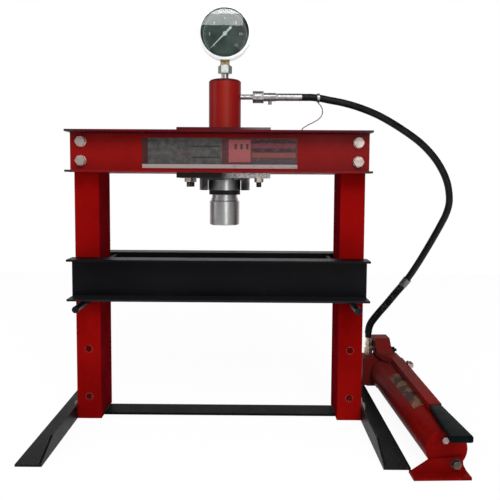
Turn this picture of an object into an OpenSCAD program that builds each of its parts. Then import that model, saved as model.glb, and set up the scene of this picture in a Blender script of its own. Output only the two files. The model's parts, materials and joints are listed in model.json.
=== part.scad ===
// H-frame hydraulic shop press with a hand pump, hose and pressure gauge.
// Millimetres, +Z up. Origin: centre of the base tie's underside, on the floor.
// X runs along the head, -Y is the working side.

/* [Frame] */
// outside width across the two columns
frame_w = 708; // [600:1:900]
// height of the head's top face above the floor
head_top = 714; // [600:1:900]
// overhang of the head channels past each column
head_over = 8; // [4:1:40]
// overhang of the bed channels past each column
bed_over = 7; // [4:1:40]
// height of every channel
chan_h = 100; // [80:1:120]
// flange width of every channel
chan_flange = 48; // [35:1:60]
// wall thickness of every channel
chan_t = 5; // [4:0.5:8]

/* [Columns] */
// column width, along the head
col_w = 60; // [50:1:80]
// column depth, front to back
col_d = 100; // [80:1:120]
// column wall thickness
col_t = 4; // [3:0.5:6]
// height of the lowest bed-pin hole
pin_z0 = 56; // [45:1:80]
// spacing of the bed-pin holes
pin_pitch = 121; // [80:1:130]
// number of bed-pin holes in a column, counted from the floor
pin_holes = 3; // [1:1:3]
// bed-pin diameter
pin_d = 16; // [12:1:20]
// bed-pin length in front of the column's middle
pin_front = 150; // [120:1:180]
// bed-pin length behind the column's middle
pin_rear = 112; // [105:1:160]

/* [Feet and tie] */
// foot rail reach in front of the column's middle
rail_front = 284; // [220:1:340]
// foot rail reach behind the column's middle
rail_rear = 230; // [160:1:284]
// width of the foot rail's flat leg
rail_w = 56; // [40:1:70]
// height of the foot rail's upright leg
rail_h = 36; // [34:1:50]
// foot rail thickness
rail_t = 5; // [4:0.5:6]
// length of the sloped end of the upright leg
rail_slope = 68; // [20:1:120]
// width of the base tie
tie_w = 54; // [40:1:80]
// thickness of the base tie
tie_t = 6; // [4:0.5:10]

/* [Ram] */
// offset of the ram along the head, from the middle
ram_x = 10; // [-30:1:30]
// room between the cylinder and each head channel's web
cyl_room = 10; // [2:0.5:14]
// cylinder wall thickness
cyl_wall = 6; // [4:0.5:10]
// step from the piston's edge to the ram rod
rod_step = 2; // [1.5:0.5:4]
// ram stroke
stroke = 125; // [60:1:180]
// step from the cylinder's side to the ram's nose
nose_step = 2.5; // [1:0.5:8]
// length of the ram's nose
nose_len = 67; // [40:1:90]
// reach of the clamp plates onto each head channel's flanges
plate_lap = 15; // [8:1:40]
// lower clamp plate thickness
plate_t = 12; // [8:1:16]
// upper clamp plate thickness
plate_up_t = 9; // [8:1:16]
// width of the lock ring around the cylinder
ring_w = 23; // [14:1:30]
// lock ring height
ring_h = 30; // [20:1:36]
// stud diameter
stud_d = 12; // [10:1:14]

/* [Gauge] */
// gauge diameter over the bezel
gauge_d = 132; // [100:1:150]
// length of the fittings under the gauge
gauge_neck = 48; // [40:1:70]

/* [Hose] */
// hose diameter
hose_d = 18; // [14:1:18]
// tether diameter
tether_d = 2.4; // [2:0.1:3]

/* [Pump] */
// room between the foot rail and the pump's axis
pump_room = 53; // [50:1:90]
// pump pivot behind the column's middle
pump_y = 190; // [180:1:200]
// turn of the pump, front end outwards, degrees
pump_yaw = 2; // [0:0.5:3]
// reservoir tube diameter
tank_d = 86; // [60:1:100]
// reservoir tube length
tank_l = 437; // [300:1:450]
// pump lever length from its pivot to the grip's end
lever_l = 550; // [420:1:660]
// grip length
grip_l = 154; // [110:1:190]

/* [Hidden] */
$fn = 64;
eps = 0.01;
// clearances: a piece beside another in one body, and a running fit on the radius
gap = 0.3;
fit = 0.05;
// how far a cut runs past the face that it opens
cut = 1;

col_x = frame_w / 2 - col_w / 2;
col_in = frame_w / 2 - col_w;
head_z = head_top - chan_h;
// the columns stop below the upper clamp plate
col_drop = 4;
col_h = head_top - col_drop;
head_len = frame_w + 2 * head_over;
bed_len = frame_w + 2 * bed_over;
pin_z = pin_z0 + (pin_holes - 1) * pin_pitch;
bed_z = pin_z + pin_d / 2 + gap;
// side play between the bed and the columns
bed_play = 1;
bed_y = col_d / 2 + bed_play;
bed_spacer_t = 8;
bed_spacer_in = 14;
bed_spacer_x = col_in - bed_spacer_in;
pin_chamfer = 1.5;
// height of the foot rail's upright leg at its ends
rail_tip = rail_t + 3;

// head bolts
hb_d = 14;
hb_af = 22;
hb_head = 9;
hb_washer = 3;
hb_washer_d = 2 * hb_d - 2;
hb_nut_h = 13;
hb_tail = 18;
hb_edge = 19;
hb_x = frame_w / 2 - hb_edge;
hb_low = 28;
hb_pitch = 46;
hb_reach = col_d / 2 + chan_t + hb_washer;

// foot bolts
fb_d = 12;
fb_af = 19;
fb_head = 8;
fb_washer = 2.5;
fb_washer_d = 2 * fb_d;
fb_nut_h = 10;
fb_tail = 14;
fb_y = 17;
fb_z = 21;

// ram stack, from the top down
cyl_d = col_d - 2 * cyl_room;
bore_d = cyl_d - 2 * cyl_wall;
rod_d = bore_d - 2 * rod_step;
nose_d = cyl_d - 2 * nose_step;
cyl_cap = 14;
cyl_chamfer = 3;
plate_low_z = head_z - plate_t;
port_d = 13;
gland_rise = 12;
gland_top = head_z + gland_rise;
// collar on the gland that stops the piston at the end of the stroke
stop_h = 20.7;
piston_h = 22;
piston_z = gland_top + stop_h + gap + stroke;
// the port enters above the piston's rest place
port_rise = 4;
port_z = piston_z + piston_h + port_rise + port_d / 2;
port_drop = 39.5;
cyl_top = port_z + port_drop;
ring_z = plate_low_z - ring_h;
ring_flange = 5;
ring_d = cyl_d + 2 * ring_w;
ring_notch = cyl_d + 4;
inner_ring_h = 16;
inner_ring_d = cyl_d + 2 * cyl_room - 4;
wiper_h = 11;
wiper_d = cyl_d - 2;
neck_h = 9;
nose_top = ring_z - wiper_h - neck_h;
nose_chamfer = 2;
nose_groove = 6;
nose_neck_d = rod_d + 4;
rod_bore = 44;
rod_floor = 24;
anchor_d = 18;
anchor_h = 14;
spring_r = 15;
spring_wire = 3;
spring_turns = 18;
spring_steps = 10;
spring_seat = 0.2;
stud_in = 14;
stud_room = 23;
stud_x = ring_d / 2 + stud_room;
stud_y = col_d / 2 - stud_in;
plate_end = 27;
plate_l = 2 * (stud_x + plate_end);
plate_w = col_d + 2 * plate_lap;
socket_af = 8;
socket_h = 3;
stud_head_d = 22;
stud_head_h = 5;
stud_nut_h = 10;
stud_nut_af = 19;
stud_end = 12;

// gauge stack, from the cylinder up
nip_h = 18;
nip_d = 18;
hex_h = 20;
hex_af = 30;
nip_seat = 8;
hex_lip = 2;
hex_lip_d = hex_af - 3;
gauge_z = cyl_top + gauge_neck + gauge_d / 2;
bezel_lip = 6.5;
bezel_front = -22;
lens_y = -17;
case_front = -14;
case_back = 18;
case_wall = 2;
bezel_wrap = 8;
case_d = gauge_d - 6;
case_bore = case_d - 2 * case_wall;
dial_y = -4;
dial_t = 1.5;
stem_w = 22;
stem_low = gauge_z - case_d / 2 + 1;
stem_top = gauge_z - 34;
stem_back = 0.5;
move_w = 30;
move_rise = 14;
spindle_d = 4;
spindle_end = 4;
spindle_seat = 2;
hub_d = 10;
hub_t = 4;
needle_y = -9;
needle_t = 1.2;
needle_in = 12;
needle_tip = case_bore / 2 - needle_in;
needle_tail = 22;
needle_w = 6;
needle_waist = 4;
needle_point = 1;
needle_turn = 225;

// line from the ram's port to the hose
port_x = ram_x + cyl_d / 2;
line_nip_in = 7;
collar_x = port_x + 27;
collar_l = 30;
collar_d = 27;
// the turning collar is short of the nipple and the body at its two ends
collar_in = 2.5;
collar_out = 0.5;
collar_grip = 17;
collar_lip = 5;
male_d = 18;
male_start = 2;
shank_lap = 1;
body_x = collar_x + collar_l + collar_out;
body_l = 30;
body_d = 21;
lug_x = 15;
lug_d = 9;
lug_h = 10;
lug_drop = 8;
ferrule_hex = 16;
ferrule_x = body_x + body_l;
ferrule_neck = 5;
ferrule_d = 18.6;
hose_x = 202;

// hose route, from the ram's fitting round to the pump's
hose_pts = [
    [202, 0, 804.5], [214, 0, 804.5], [226, 0, 804.5], [248, 1, 802.5],
    [272, 2, 798], [306, 4, 792], [341, 7, 783], [376, 10, 771],
    [410, 13, 756], [457, 19, 730], [506, 27, 698], [544, 36, 664],
    [571, 45, 630], [589, 53, 597], [599, 62, 565], [602, 69, 538],
    [598, 77, 511], [589, 85, 485], [575, 96, 450], [559, 106, 414],
    [542, 117, 377], [524, 128, 341], [506, 138, 310], [486, 149, 280],
    [467, 160, 250], [448, 172, 221], [433.1, 183, 195.8], [427, 187.8, 183],
    [423.2, 190.8, 169.2], [422, 192, 155.1], [422, 192, 148.5], [422, 192, 142]];
// tether route, from its band on the hose down between the head channels
tether_pts = [
    [243, 0, 791.2], [249, -3, 784], [253, -7, 775], [253, -11, 764],
    [249, -15, 755], [241, -19, 747], [229, -23, 740], [215, -27, 733],
    [203, -30, 725], [196, -32, 714], [193, -33, 700], [192, -33, 686]];
band_x = 243;
band_z = 803;
band_y = 0.8;
band_w = 6;
band_t = 2.5;
band_fit = 0.1;
// dust plug: a head on a stem that fits where the ram's nipple fits
plug_d = 24;
plug_h = 24;
plug_head = 8;

// printed label on the front head channel
label_left = 187;
label_right = 188;
label_t = 0.8;
label_low = 11;
label_high = 84;

// pump, in its own frame: pivot over the origin, grip towards -Y
foot_t = 6;
block_l = -66;
block_r = 46;
block_front = -38;
block_rear = 16;
block_top = foot_t + tank_d;
// the underside is stepped up beside the foot rail, and at its front left
under_l = -50;
under_in = -24;
under_y = -8;
under_z = 14;
pivot_rise = 33;
pivot_z = block_top + pivot_rise;
post_w = 34;
post_lap = 1;
post_x = -6;
post_y = 15;
pivot_d = 10;
fork_in = post_w / 2 + 2;
sheet = 3;
fork_out = fork_in + sheet;
tank_z = foot_t + tank_d / 2;
tank_wall = 4;
end_cap_t = 10;
end_cap_edge = 3;
end_cap_skin = 2;
tank_end = block_front - tank_l;
cap_front = tank_end - end_cap_t;
fitting_x = -40.9;
fitting_y = 3.4;
pump_x = frame_w / 2 + rail_w + pump_room;
foot_bolt_x = 16;
foot_bolt_z = 23;
foot_plate_t = 5;
filler_x = -5;
filler_up = 21;
filler_z = tank_z + filler_up;
filler_d = 10;
filler_af = 13;
filler_head = 4;
fit_hex_h = 20;
fit_hex_af = 22;
fit_d = 15;
fit_nut_up = 27;
fit_nut_h = 9;
fit_nut_af = 17;
fit_seat = 8;
fit_seat_d = 14;
fit_lap = 4;
// rear foot under the block
rear_foot_l = -44;
rear_foot_in = 2;
rear_foot_out = 8;
// front foot: a flat tread with a shaped plate standing on it
tread_l = -77;
tread_r = 40;
tread_front = 28;
tread_rear = 4;
plate_shoulder = 14;
plate_top = 32;
plate_low = 26;
plate_in_r = 8;
plate_top_r = 30;
plate_top_l = -37;
foot_bolt_d = 10;
foot_bolt_washer = 2;
foot_bolt_washer_d = 22;
foot_bolt_af = 16;
foot_bolt_head = 7;
// pivot pin: a round head at each end
pivot_head_d = 16;
pivot_head_t = 3.5;
pivot_head_at = 4;
pivot_lap = 3;
pivot_over = 7;
// link pin: it lifts and drives the plunger, and has its nut on the right
link_d = 8;
link_down = 11;
link_head_d = 14;
link_head_t = 3;
link_washer_d = 20;
link_washer_t = 2;
link_nut_af = 16;
link_nut_t = 9;
link_over = 17;
plunger_y = -28;
plunger_d = 16;
link_z = pivot_z - link_down;
plunger_top = link_z - link_d / 2 - gap;
plunger_tip = 6;
plunger_taper = 8;
// the plunger's bore is deeper than its foot by the room below
bore_z = foot_t + 20;
bore_room = 6;
valve_y = -14;
valve_z = 42;
valve_d = 8;
valve_in = 10;
valve_out = 8;
valve_bore = 12;
knob_d = 26;
knob_t = 16;
lever_end = -(lever_l - grip_l);
lever_off = 18;
// how far the lever runs in over the reservoir by the grip's end
lever_in = 16;
// stations along the lever, from its pivot forwards
fork_rear = 22;
fork_nose = 18;
fork_front = 40;
lever_rise = 50;
neck_front = 60;
neck_end = 90;
// half widths at the end of the neck, and how far the inside is cut below the sheet
neck_l = 16;
neck_r = 14;
lever_reach = 40;
lever_w = 28;
lever_low = block_top + 2;
lever_high = lever_low + 14;
fork_low = block_top + 10;
fork_top = pivot_z + 20;
grip_w1 = 27;
grip_w2 = 46;
grip_low = lever_low;
grip_h = 13.5;
grip_r = 5;
lbolt_y = -134;
lbolt_z = lever_low + 11;
lbolt_d = 14;
lbolt_l = 15;
lbolt_af = 19;
lbolt_head = 8;
lbolt_washer_d = 24;
lbolt_washer_t = 3;

red = [0.52, 0.06, 0.06];
dark = [0.09, 0.09, 0.10];
zinc = [0.72, 0.72, 0.70];
steel = [0.62, 0.62, 0.62];
black = [0.04, 0.04, 0.04];
brass = [0.68, 0.55, 0.30];
grey = [0.35, 0.35, 0.35];

// draw one sub-part, or all of them

// helpers

module along_y() { rotate([-90, 0, 0]) children(); }
module along_x() { rotate([0, 90, 0]) children(); }
module both_x() { for (s = [-1, 1]) scale([s, 1, 1]) children(); }
module box(lo, hi) { translate(lo) cube(hi - lo); }
module hexagon(af, h) { cylinder(h = h, d = af / cos(30), $fn = 6); }
module ring(od, id, h) {
    difference() {
        cylinder(h = h, d = od);
        translate([0, 0, -eps]) cylinder(h = h + 2 * eps, d = id);
    }
}
module in_pump() { translate([pump_x, pump_y, 0]) rotate([0, 0, pump_yaw]) children(); }

// a bent tube through points, as one closed solid
function cat(p0, p1, p2, p3, t) = 0.5 * (2 * p1 + (p2 - p0) * t
    + (2 * p0 - 5 * p1 + 4 * p2 - p3) * t * t + (3 * p1 - p0 - 3 * p2 + p3) * t * t * t);
function smooth(p, n) = let (m = len(p) - 1) concat(
    [for (i = [0:m - 1], k = [0:n - 1])
        cat(p[max(i - 1, 0)], p[i], p[i + 1], p[min(i + 2, m)], k / n)], [p[m]]);
function unit(v) = v / norm(v);
function way(p, i) = let (m = len(p) - 1)
    unit(i == 0 ? p[1] - p[0] : i == m ? p[m] - p[m - 1] : p[i + 1] - p[i - 1]);
module bent_tube(p, r, n, ref = [0, 1, 0]) {
    m = len(p);
    verts = [for (i = [0:m - 1]) let (t = way(p, i), u = unit(cross(t, ref)), v = cross(t, u))
        for (k = [0:n - 1]) p[i] + r * (u * cos(360 * k / n) + v * sin(360 * k / n))];
    walls = [for (i = [0:m - 2], k = [0:n - 1]) let (a = i * n + k, b = i * n + (k + 1) % n)
        [a, b, b + n, a + n]];
    ends = [[for (k = [n - 1:-1:0]) k], [for (k = [0:n - 1]) (m - 1) * n + k]];
    polyhedron(points = verts, faces = concat([for (f = walls) [f[3], f[2], f[1], f[0]]],
        [for (f = ends) [for (k = [n - 1:-1:0]) f[k]]]), convexity = 8);
}

// frame

module column() {
    difference() {
        box([col_in, -col_d / 2, 0], [frame_w / 2, col_d / 2, col_h]);
        box([col_in + col_t, -col_d / 2 + col_t, -eps],
            [frame_w / 2 - col_t, col_d / 2 - col_t, col_h + eps]);
        for (k = [0:pin_holes - 1]) translate([col_x, -col_d, pin_z0 + k * pin_pitch])
            along_y() cylinder(h = 2 * col_d, d = pin_d + 2 * fit);
        for (k = [0, 1]) translate([hb_x, -col_d, head_z + hb_low + k * hb_pitch])
            along_y() cylinder(h = 2 * col_d, d = hb_d + 2 * gap);
        for (s = [-1, 1]) translate([frame_w / 2 - 2 * col_t, s * fb_y, fb_z])
            along_x() cylinder(h = 3 * col_t, d = fb_d + 2 * gap);
    }
}
module left_column() { color(red) scale([-1, 1, 1]) column(); }
module right_column() { color(red) column(); }

// a channel along X, web towards +Y, flanges towards -Y, web face at y = 0
module channel(l) {
    difference() {
        box([-l / 2, -chan_flange, 0], [l / 2, 0, chan_h]);
        box([-l / 2 - eps, -chan_flange - eps, chan_t], [l / 2 + eps, -chan_t, chan_h - chan_t]);
    }
}
module head_channel() {
    difference() {
        translate([0, -col_d / 2, head_z]) channel(head_len);
        for (s = [-1, 1], k = [0, 1])
            translate([s * hb_x, -col_d, head_z + hb_low + k * hb_pitch])
                along_y() cylinder(h = col_d, d = hb_d + 2 * gap);
    }
}
module front_head_channel() { color(red) head_channel(); }
module rear_head_channel() { color(red) scale([1, -1, 1]) head_channel(); }

module each_head_bolt() {
    for (s = [-1, 1], k = [0, 1]) translate([s * hb_x, 0, head_z + hb_low + k * hb_pitch]) children();
}
module head_bolts() {
    color(zinc) each_head_bolt() {
        translate([0, -hb_reach, 0]) along_y() cylinder(h = 2 * hb_reach + hb_tail, d = hb_d);
        translate([0, -hb_reach - hb_head, 0]) along_y() hexagon(hb_af, hb_head);
        translate([0, -hb_reach, 0]) along_y() cylinder(h = hb_washer, d = hb_washer_d);
    }
}
module head_nuts() {
    color(zinc) each_head_bolt() translate([0, hb_reach - hb_washer, 0]) along_y() difference() {
        union() {
            cylinder(h = hb_washer, d = hb_washer_d);
            translate([0, 0, hb_washer]) hexagon(hb_af, hb_nut_h);
        }
        translate([0, 0, -eps]) cylinder(h = hb_washer + hb_nut_h + cut, d = hb_d + 2 * gap);
    }
}

module foot_rail() {
    x = frame_w / 2;
    difference() {
        union() {
            box([x, -rail_front, 0], [x + rail_w, rail_rear, rail_t]);
            translate([x + rail_t, 0, 0]) rotate([0, -90, 0]) linear_extrude(rail_t) polygon([
                [0, -rail_front], [rail_tip, -rail_front], [rail_h, -rail_front + rail_slope],
                [rail_h, rail_rear - rail_slope], [rail_tip, rail_rear], [0, rail_rear]]);
        }
        for (s = [-1, 1]) translate([x - rail_t, s * fb_y, fb_z])
            along_x() cylinder(h = 3 * rail_t, d = fb_d + 2 * gap);
    }
}
module left_foot_rail() { color(dark) scale([-1, 1, 1]) foot_rail(); }
module right_foot_rail() { color(dark) foot_rail(); }

module foot_bolts() {
    x = frame_w / 2 + rail_t;
    color(zinc) both_x() for (s = [-1, 1]) translate([x, s * fb_y, fb_z]) {
        translate([-rail_t - col_t - fb_tail, 0, 0]) along_x()
            cylinder(h = rail_t + col_t + fb_tail, d = fb_d);
        along_x() cylinder(h = fb_washer, d = fb_washer_d);
        translate([fb_washer, 0, 0]) along_x() hexagon(fb_af, fb_head);
    }
}
module foot_nuts() {
    color(zinc) both_x() for (s = [-1, 1])
        translate([frame_w / 2 - col_t - fb_nut_h, s * fb_y, fb_z]) along_x() difference() {
            hexagon(fb_af, fb_nut_h);
            translate([0, 0, -eps]) cylinder(h = fb_nut_h + cut, d = fb_d + 2 * gap);
        }
}
module base_tie() { color(dark) box([-col_in, -tie_w / 2, 0], [col_in, tie_w / 2, tie_t]); }

// bed

module front_bed_channel() { color(dark) translate([0, -bed_y, bed_z]) channel(bed_len); }
module rear_bed_channel() { color(dark) scale([1, -1, 1]) translate([0, -bed_y, bed_z]) channel(bed_len); }
module bed_spacers() {
    color(dark) both_x() box([bed_spacer_x - bed_spacer_t, -bed_y, bed_z + chan_t],
        [bed_spacer_x, bed_y, bed_z + chan_h - chan_t]);
}
module bed_pin() {
    c = pin_chamfer;
    translate([col_x, -pin_front, pin_z]) along_y() {
        cylinder(h = c, d1 = pin_d - 2 * c, d2 = pin_d);
        translate([0, 0, c]) cylinder(h = pin_front + pin_rear - 2 * c, d = pin_d);
        translate([0, 0, pin_front + pin_rear - c]) cylinder(h = c, d1 = pin_d, d2 = pin_d - 2 * c);
    }
}
module left_bed_pin() { color(black) scale([-1, 1, 1]) bed_pin(); }
module right_bed_pin() { color(black) bed_pin(); }

// ram

module at_ram() { translate([ram_x, 0, 0]) children(); }
module each_stud() { for (s = [-1, 1], t = [-1, 1]) translate([s * stud_x, t * stud_y, 0]) children(); }

module upper_ram_plate() {
    color(red) at_ram() difference() {
        box([-plate_l / 2, -plate_w / 2, head_top], [plate_l / 2, plate_w / 2, head_top + plate_up_t]);
        translate([0, 0, head_top - cut]) cylinder(h = plate_up_t + 2 * cut, d = cyl_d + 2 * gap);
        each_stud() {
            translate([0, 0, head_top - cut]) cylinder(h = plate_up_t + 2 * cut, d = stud_d + 2 * gap);
            translate([0, 0, head_top + plate_up_t - stud_head_h])
                cylinder(h = stud_head_h + cut, d = stud_head_d + 2 * gap);
        }
    }
}
module lower_ram_plate() {
    color(dark) at_ram() difference() {
        box([-plate_l / 2, -plate_w / 2, plate_low_z], [plate_l / 2, plate_w / 2, head_z]);
        translate([0, 0, plate_low_z - cut]) cylinder(h = plate_t + 2 * cut, d = cyl_d + 2 * gap);
        each_stud() translate([0, 0, plate_low_z - cut]) cylinder(h = plate_t + 2 * cut, d = stud_d + 2 * gap);
    }
}
module ram_studs() {
    z0 = plate_low_z - stud_nut_h - stud_end;
    z1 = head_top + plate_up_t;
    color(dark) at_ram() each_stud() {
        translate([0, 0, z0]) cylinder(h = z1 - stud_head_h - z0, d = stud_d);
        difference() {
            translate([0, 0, z1 - stud_head_h]) cylinder(h = stud_head_h, d = stud_head_d);
            translate([0, 0, z1 - socket_h]) hexagon(socket_af, socket_h + cut);
        }
    }
}
module ram_nuts() {
    color(zinc) at_ram() each_stud() translate([0, 0, plate_low_z - stud_nut_h]) difference() {
        hexagon(stud_nut_af, stud_nut_h);
        translate([0, 0, -eps]) cylinder(h = stud_nut_h + cut, d = stud_d + 2 * gap);
    }
}
module ram_lock_ring() {
    color(dark) at_ram() difference() {
        translate([0, 0, ring_z]) ring(ring_d, cyl_d + 2 * gap, ring_h);
        box([-ring_notch / 2, -ring_d, ring_z - cut], [ring_notch / 2, ring_d, ring_z + ring_h - ring_flange]);
    }
}
module ram_inner_ring() {
    color(steel) at_ram() translate([0, 0, head_z]) ring(inner_ring_d, cyl_d + 2 * gap, inner_ring_h);
}
module ram_cylinder() {
    c = cyl_chamfer;
    color(red) at_ram() difference() {
        union() {
            translate([0, 0, gland_top]) cylinder(h = cyl_top - c - gland_top, d = cyl_d);
            translate([0, 0, cyl_top - c]) cylinder(h = c, d1 = cyl_d, d2 = cyl_d - 2 * c);
        }
        translate([0, 0, gland_top - cut])
            cylinder(h = cyl_top - cyl_cap - anchor_h - gland_top + cut, d = bore_d);
        translate([0, 0, gland_top]) ring(bore_d, anchor_d, cyl_top - cyl_cap - gland_top);
        translate([0, 0, cyl_top - nip_seat]) cylinder(h = nip_seat + cut, d = nip_d);
        translate([cyl_d / 2 - line_nip_in, 0, port_z]) along_x() cylinder(h = line_nip_in + cut, d = port_d);
    }
}
module ram_gland() {
    color(steel) at_ram() translate([0, 0, ring_z]) difference() {
        union() {
            cylinder(h = gland_top - ring_z, d = cyl_d);
            translate([0, 0, gland_top - ring_z]) cylinder(h = stop_h, d = bore_d);
        }
        translate([0, 0, -cut])
            cylinder(h = gland_top - ring_z + stop_h + 2 * cut, d = rod_d + 2 * fit);
    }
}
module ram_wiper() {
    color(black) at_ram() translate([0, 0, ring_z - wiper_h]) ring(wiper_d, rod_d + 2 * gap, wiper_h);
}
module ram_rod() {
    color(steel) at_ram() difference() {
        translate([0, 0, nose_top]) cylinder(h = piston_z - nose_top, d = rod_d);
        translate([0, 0, nose_top + rod_floor]) cylinder(h = piston_z - nose_top, d = rod_bore);
    }
}
module ram_piston() {
    color(steel) at_ram() translate([0, 0, piston_z]) ring(bore_d - 2 * fit, rod_bore, piston_h);
}
module ram_spring() {
    z0 = nose_top + rod_floor;
    z1 = cyl_top - cyl_cap - anchor_h;
    lift = spring_wire / 2 + spring_seat;
    steps = spring_turns * spring_steps;
    rise = (z1 - z0 - 2 * lift) / steps;
    color(steel) at_ram() bent_tube([for (k = [0:steps]) let (a = 360 * k / spring_steps)
        [spring_r * cos(a), spring_r * sin(a), z0 + lift + k * rise]],
        spring_wire / 2, 6, [0, 0, 1]);
}
module ram_nose() {
    c = nose_chamfer;
    groove = nose_groove;
    color(steel) at_ram() translate([0, 0, nose_top - nose_len]) {
        cylinder(h = c, d1 = nose_d - 2 * c, d2 = nose_d);
        translate([0, 0, c]) cylinder(h = nose_len - 2 * c - groove, d = nose_d);
        translate([0, 0, nose_len - c - groove]) cylinder(h = c, d1 = nose_d, d2 = nose_d - 2 * c);
        translate([0, 0, nose_len - groove]) cylinder(h = groove, d = nose_neck_d);
    }
}

// gauge

module gauge_nipple() {
    color(steel) at_ram() translate([0, 0, cyl_top - nip_seat]) cylinder(h = nip_h + nip_seat, d = nip_d);
}
module gauge_adapter() {
    color(zinc) at_ram() translate([0, 0, cyl_top + nip_h]) {
        hexagon(hex_af, hex_h - hex_lip);
        translate([0, 0, hex_h - hex_lip]) cylinder(h = hex_lip, d = hex_lip_d);
    }
}
module gauge_stem() {
    z0 = cyl_top + nip_h + hex_h;
    color(brass) at_ram() {
        box([-stem_w / 2, -stem_w / 2, z0], [stem_w / 2, stem_w / 2, stem_low]);
        box([-stem_w / 2, dial_y + dial_t + stem_back, z0], [stem_w / 2, stem_w / 2, stem_top]);
    }
}
module at_gauge(y) { translate([ram_x, y, gauge_z]) along_y() children(); }
// slot in the case and bezel for the square stem
module stem_slot() {
    w = stem_w / 2 + gap;
    at_ram() box([-w, -w, gauge_z - gauge_d], [w, w, stem_top]);
}
module gauge_case() {
    color(grey) difference() {
        at_gauge(case_front) cylinder(h = case_back - case_front, d = case_d);
        at_gauge(case_front - cut)
            cylinder(h = case_back - case_front - case_wall + cut, d = case_bore);
        stem_slot();
    }
}
module gauge_bezel() {
    color(zinc) difference() {
        at_gauge(bezel_front) cylinder(h = case_front + bezel_wrap - bezel_front, d = gauge_d);
        at_gauge(bezel_front - cut) cylinder(h = gauge_d, d = gauge_d - 2 * bezel_lip);
        at_gauge(lens_y) cylinder(h = gauge_d, d = case_bore);
        at_gauge(case_front) cylinder(h = gauge_d, d = case_d + 2 * gap);
        stem_slot();
    }
}
module gauge_lens() {
    color([0.8, 0.85, 0.85, 0.4]) at_gauge(lens_y) cylinder(h = case_front - lens_y, d = case_bore - 2 * gap);
}
module gauge_dial() {
    color(grey) at_gauge(dial_y) ring(case_bore - 2 * gap, spindle_d + 2, dial_t);
}
module gauge_movement() {
    color(brass) difference() {
        at_ram() box([-move_w / 2, dial_y + dial_t, stem_top],
            [move_w / 2, case_back - case_wall, gauge_z + move_rise]);
        at_gauge(dial_y) cylinder(h = case_back - case_wall - dial_y - spindle_seat, d = spindle_d + 2 * fit);
    }
}
module gauge_needle() {
    color(steel) {
        at_gauge(needle_y) cylinder(h = case_back - case_wall - needle_y - spindle_end, d = spindle_d);
        at_gauge(needle_y - hub_t / 2) cylinder(h = hub_t, d = hub_d);
        translate([ram_x, needle_y, gauge_z]) rotate([0, needle_turn, 0]) rotate([90, 0, 0])
            linear_extrude(needle_t) polygon([[-needle_w / 2, -needle_tail], [needle_w / 2, -needle_tail],
                [needle_waist / 2, 0], [needle_point / 2, needle_tip],
                [-needle_point / 2, needle_tip], [-needle_waist / 2, 0]]);
    }
}

// line and hose

module at_port(x) { translate([x, 0, port_z]) along_x() children(); }
module port_nipple() {
    color(zinc) {
        at_port(port_x - line_nip_in)
            cylinder(h = collar_x + male_start + shank_lap - port_x + line_nip_in, d = port_d);
        at_port(collar_x + male_start) cylinder(h = collar_l - male_start, d = male_d);
    }
}
module coupler_collar() {
    color(zinc) at_port(collar_x + collar_in) difference() {
        union() {
            hexagon(collar_d - 1, collar_l - collar_in - collar_out);
            translate([0, 0, collar_lip]) cylinder(h = collar_grip, d = collar_d + 2);
        }
        translate([0, 0, -cut]) cylinder(h = collar_l, d = male_d + 2 * fit);
    }
}
module coupler_body() {
    color(zinc) {
        at_port(collar_x + collar_l) cylinder(h = body_l + collar_out, d = body_d);
        translate([body_x + lug_x, 0, port_z - body_d / 2 - lug_drop]) cylinder(h = lug_h, d = lug_d);
    }
}
module upper_ferrule() {
    color(zinc) {
        at_port(ferrule_x) hexagon(ferrule_hex, ferrule_neck);
        at_port(ferrule_x + ferrule_neck) cylinder(h = hose_x - ferrule_x - ferrule_neck, d = ferrule_d);
    }
}
module hydraulic_hose() { color(black) bent_tube(smooth(hose_pts, 2), hose_d / 2, 12); }
module tether_band() {
    color(zinc) difference() {
        translate([band_x - band_w / 2, band_y, band_z]) along_x()
            cylinder(h = band_w, d = hose_d + 2 * band_t);
        bent_tube(smooth(hose_pts, 2), hose_d / 2 + band_fit, 12);
    }
}
module cap_tether() { color(red) bent_tube(tether_pts, tether_d / 2, 8); }
module dust_plug() {
    p = tether_pts[len(tether_pts) - 1];
    color(black) translate([p[0], p[1], p[2] - plug_h]) {
        translate([0, 0, plug_h - plug_head]) cylinder(h = plug_head, d = plug_d);
        cylinder(h = plug_h - plug_head, d = male_d);
    }
}
module name_plate() {
    color(grey) box([-label_left, -col_d / 2 - chan_t - label_t, head_z + label_low],
        [label_right, -col_d / 2 - chan_t, head_z + label_high]);
}

// pump

module pump_block() {
    color(red) in_pump() difference() {
        union() {
            box([block_l, block_front, foot_t], [block_r, block_rear, block_top]);
            box([post_x - post_w / 2, -post_y, block_top - post_lap],
                [post_x + post_w / 2, post_y, pivot_z]);
            translate([post_x - post_w / 2, 0, pivot_z]) along_x() cylinder(h = post_w, r = post_y);
        }
        box([block_l - cut, block_front - cut, foot_t - cut], [under_l, block_rear + cut, under_z]);
        box([block_l - cut, block_front - cut, foot_t - cut], [under_in, under_y, under_z]);
        translate([post_x - post_w, 0, pivot_z]) along_x() cylinder(h = 2 * post_w, d = pivot_d + 2 * fit);
        translate([post_x, plunger_y, bore_z]) cylinder(h = block_top, d = plunger_d + 2 * fit);
        translate([block_r - valve_bore, valve_y, valve_z]) along_x()
            cylinder(h = valve_bore + cut, d = valve_d + 2 * fit);
        translate([fitting_x, fitting_y, block_top - fit_seat]) cylinder(h = fit_seat + cut, d = fit_seat_d);
    }
}
module pump_rear_foot() {
    color(red) in_pump() box([rear_foot_l, under_y + rear_foot_in, 0],
        [block_r, block_rear + rear_foot_out, foot_t]);
}
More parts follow.
